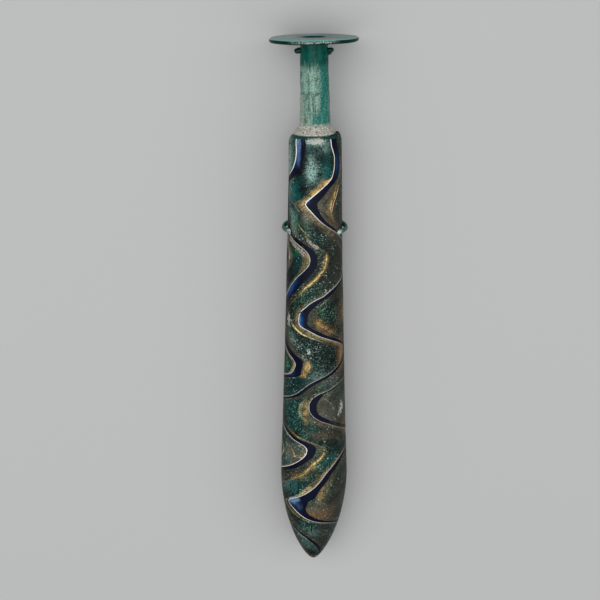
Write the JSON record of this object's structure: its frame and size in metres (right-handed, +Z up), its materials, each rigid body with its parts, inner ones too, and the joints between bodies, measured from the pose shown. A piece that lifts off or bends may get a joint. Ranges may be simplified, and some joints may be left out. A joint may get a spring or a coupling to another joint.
{
  "type": "glass perfume flask",
  "caption": "Slender, pointed flask of banded glass, lying down, with a low lug on each side and a separate neck with a broad disc rim in its mouth.",
  "frame": {"origin": "centre of the flask's bounding box, on the surface that it lies on", "axes": "+Z up; +Y along the flask from its pointed tip to its rim; the side that the picture shows faces +Z; the lugs are at +X and -X"},
  "size_m": [0.0322, 0.2004, 0.032],
  "materials": {
    "banded_glass": "polished, weathered",
    "blue_green_glass": "smooth, weathered"
  },
  "bodies": {
    "root": {"vessel": "banded_glass", "neck_and_rim": "blue_green_glass"}
  },
  "joints": []
}
